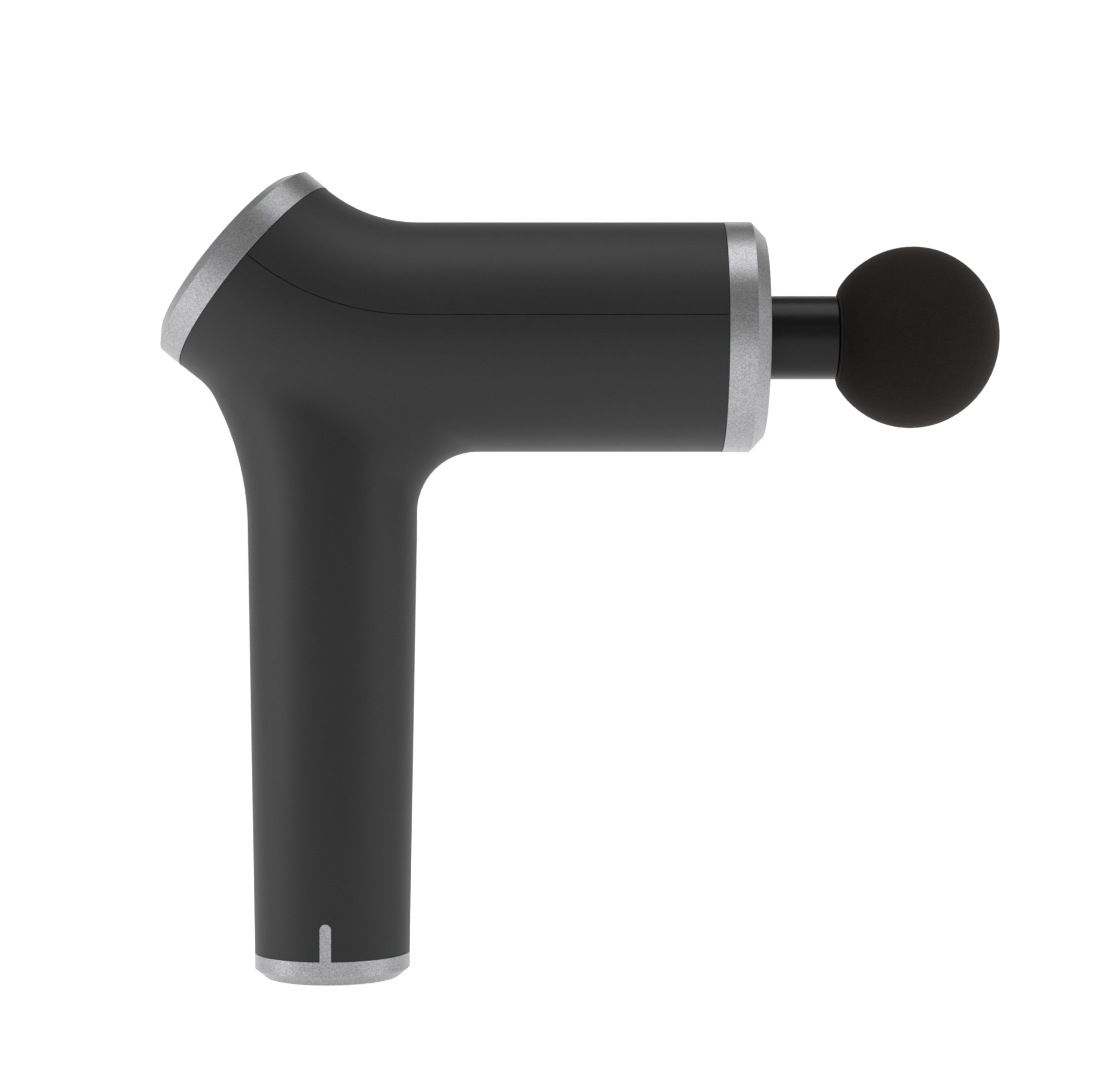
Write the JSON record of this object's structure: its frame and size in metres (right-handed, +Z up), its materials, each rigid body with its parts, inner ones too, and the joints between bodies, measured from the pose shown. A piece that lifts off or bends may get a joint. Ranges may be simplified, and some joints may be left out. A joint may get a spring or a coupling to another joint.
{
  "type": "massage gun",
  "caption": "Pistol-shaped percussion massage gun with a round grip, a bent barrel, metal trim rings and a pull-off round massage ball on a reciprocating sleeve.",
  "frame": {"origin": "middle of the flat ring that the gun stands on, on the axis of the grip", "axes": "+Z up along the grip; +X along the barrel towards the massage ball; +Y to the left of the barrel as seen from behind it"},
  "size_m": [0.2339, 0.064, 0.224],
  "materials": {
    "charcoal_shell": "matte",
    "silver_ring": "satin",
    "silver_nose": "satin",
    "black_plastic": "matte",
    "gloss_panel": "gloss",
    "light_pips": "gloss",
    "black_rubber": "matte",
    "foam_ball": "matte",
    "steel": "satin",
    "green_board": "satin",
    "chip_black": "satin",
    "connector_white": "satin",
    "cell_wrap": "satin",
    "copper": "satin",
    "cast_metal": "satin",
    "nylon_block": "matte",
    "bell_metal": "satin",
    "magnet": "satin",
    "bronze_bush": "satin",
    "slide_bush": "satin",
    "roller_plastic": "satin",
    "sleeve_black": "satin",
    "stem_black": "satin",
    "battery_wire": "satin",
    "motor_wire": "satin"
  },
  "bodies": {
    "housing": {"lower_housing": "charcoal_shell", "upper_housing": "charcoal_shell", "rear_ring": "silver_ring", "base_ring": "silver_ring", "front_ring": "silver_nose", "nose_plate": "black_plastic", "base_plate": "black_plastic", "switch_housing": "black_plastic", "charging_socket": "black_plastic", "cell_holder_bottom": "black_plastic", "cell_holder_middle": "black_plastic", "cell_holder_top": "black_plastic", "control_panel": "gloss_panel", "panel_lights": "light_pips", "shaft_wiper": "black_rubber", "damper_rings": "black_rubber", "nose_screws": "steel", "board_screws": "steel", "base_screws": "steel", "mount_screws": "steel", "motor_bearings": "steel", "tie_nuts": "steel", "stator_core": "steel", "nickel_strips": "steel", "tact_switch": "steel", "motor_mount": "steel", "button_board": "green_board", "controller_board": "green_board", "charge_board": "green_board", "power_transistors": "chip_black", "filter_capacitors": "chip_black", "board_connectors": "connector_white", "battery_cells": "cell_wrap", "stator_windings": "copper", "tie_rods": "cast_metal", "mid_block": "nylon_block", "front_block": "nylon_block", "board_standoffs": "bronze_bush", "rod_bush": "slide_bush", "front_bush": "slide_bush", "battery_leads": "battery_wire", "motor_leads": "motor_wire"},
    "crank": {"rotor_bell": "bell_metal", "rotor_magnets": "magnet", "motor_shaft": "steel", "crank_disc": "steel", "crank_pin": "steel", "crank_clip": "steel"},
    "roller": {"crank_roller": "roller_plastic"},
    "plunger": {"yoke": "cast_metal", "piston_rod": "cast_metal", "head_socket": "sleeve_black"},
    "head": {"head_stem": "stem_black", "stem_o_rings": "black_rubber", "massage_ball": "foam_ball"},
    "button": {"power_button": "gloss_panel"},
    "switch": {"switch_knob": "chip_black"}
  },
  "joints": [
    {"name": "crank_turn", "type": "hinge", "parent": "housing", "child": "crank", "pos_m": [0, 0, 0.17], "axis": [0, 0, 1], "range_deg": [-90, 90]},
    {"name": "roller_spin", "type": "hinge", "parent": "crank", "child": "roller", "pos_m": [0, -0.005, 0.1783], "axis": [0, 0, 1], "continuous": true},
    {"name": "drive_slide", "type": "slide", "parent": "housing", "child": "plunger", "axis": [1, 0, 0], "range_m": [-0.005, 0.005]},
    {"name": "head_release", "type": "slide", "parent": "plunger", "child": "head", "axis": [1, 0, 0], "range_m": [0, 0.032]},
    {"name": "button_press", "type": "slide", "parent": "housing", "child": "button", "axis": [0.7688, 0, -0.6394], "range_m": [0, 0.0008], "stiffness_N_per_m": 1500},
    {"name": "switch_slide", "type": "slide", "parent": "housing", "child": "switch", "axis": [1, 0, 0], "range_m": [0, 0.003]}
  ],
  "couplings": [
    {"joint": "crank_turn", "follows": "drive_slide", "rad_per_m": 314.16}
  ]
}
